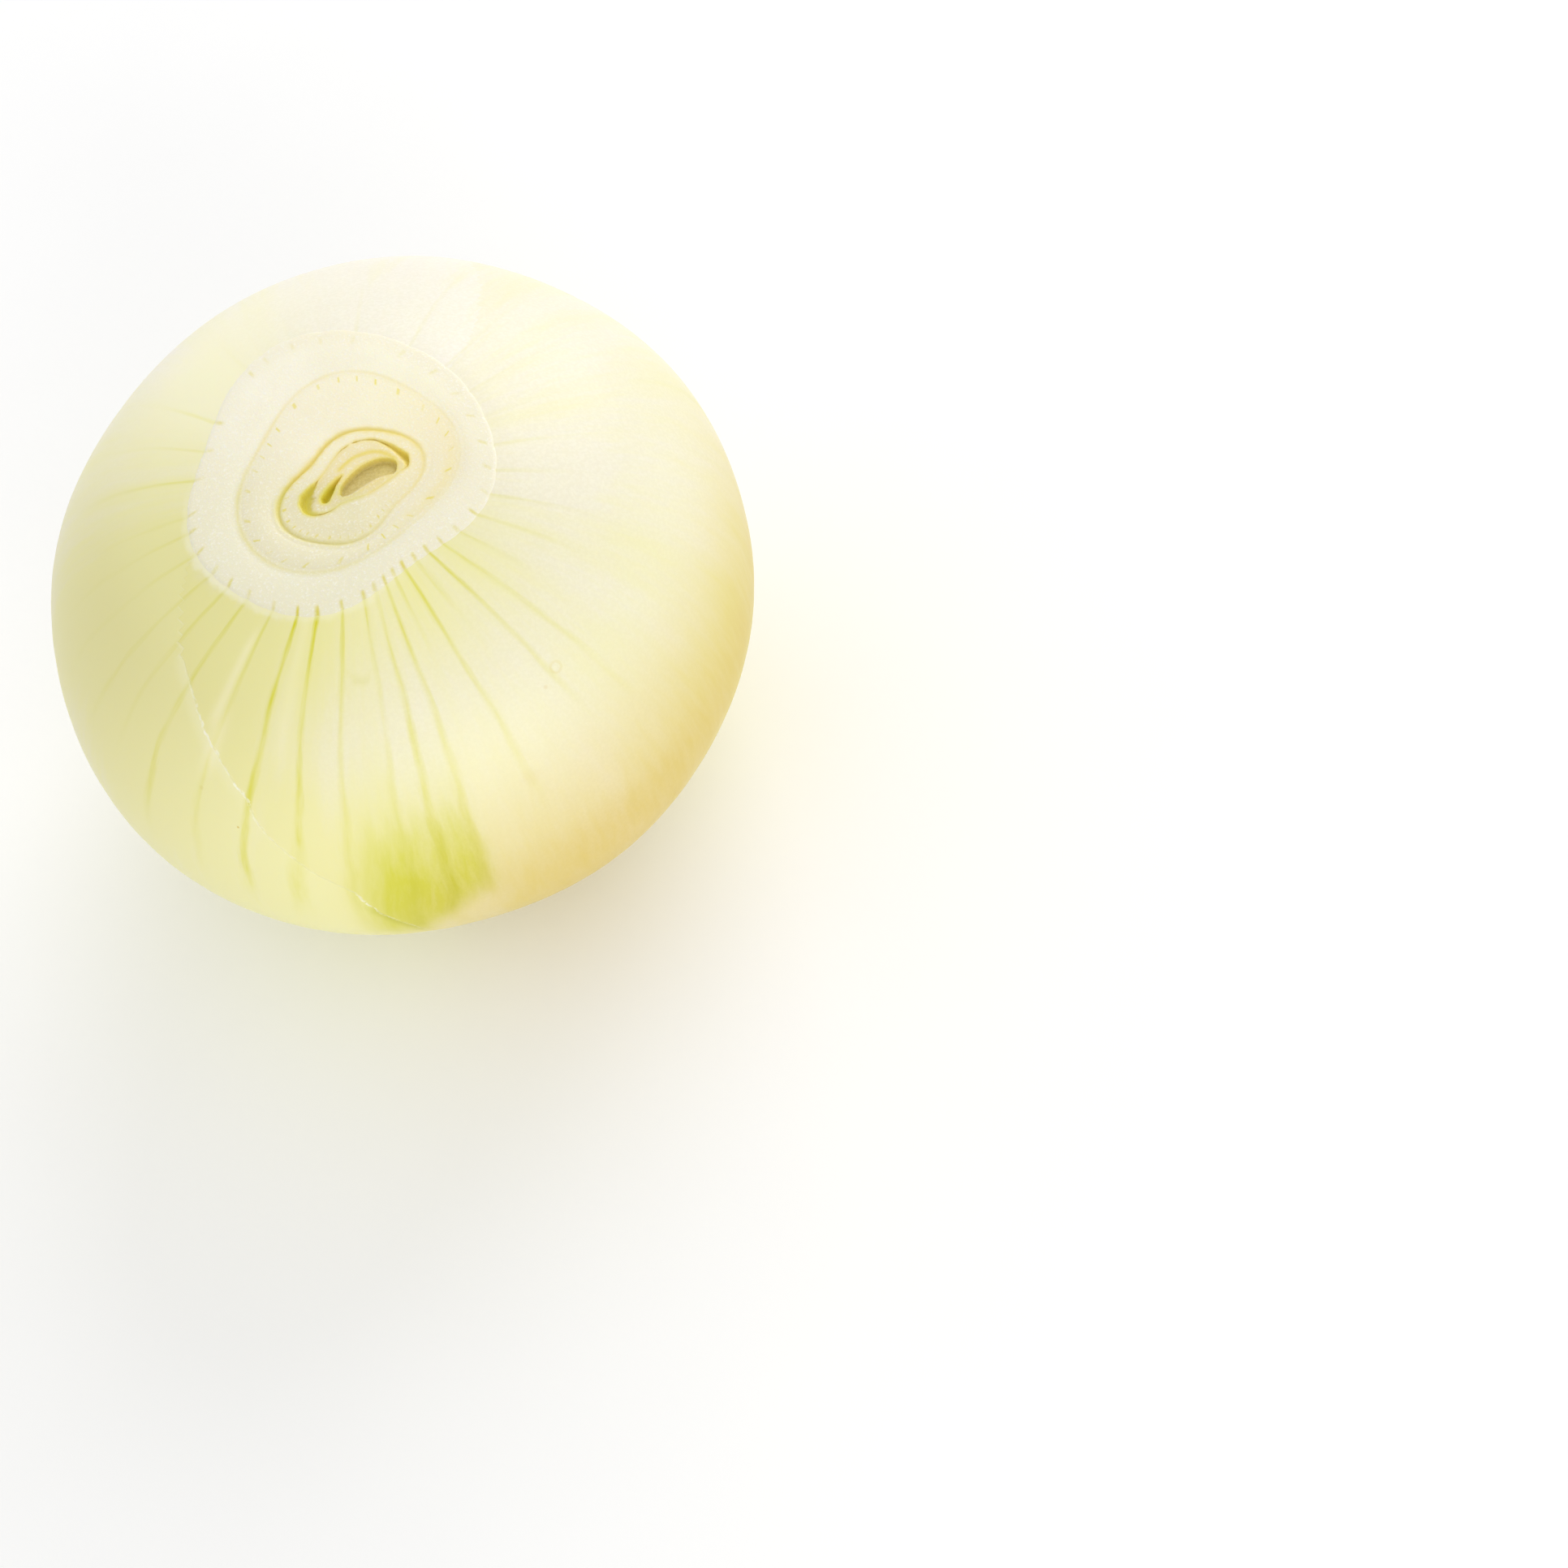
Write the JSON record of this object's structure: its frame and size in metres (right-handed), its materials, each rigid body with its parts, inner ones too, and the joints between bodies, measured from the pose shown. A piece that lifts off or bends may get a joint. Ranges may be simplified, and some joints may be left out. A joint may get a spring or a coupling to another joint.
{
  "type": "peeled onion",
  "caption": "Peeled white onion, a flattened globe cut straight across at the neck and at the root, standing on the root cut.",
  "frame": {"origin": "on the flat root cut that the onion stands on, under the middle of its bounding box", "axes": "+Z along the bulb's axis, from the root cut up to the neck cut; the neck sits 2 mm off the axis towards -Y"},
  "size_m": [0.0799, 0.0798, 0.0582],
  "materials": {
    "flesh": "satin"
  },
  "bodies": {
    "root": {"onion_bulb": "flesh"}
  },
  "joints": []
}
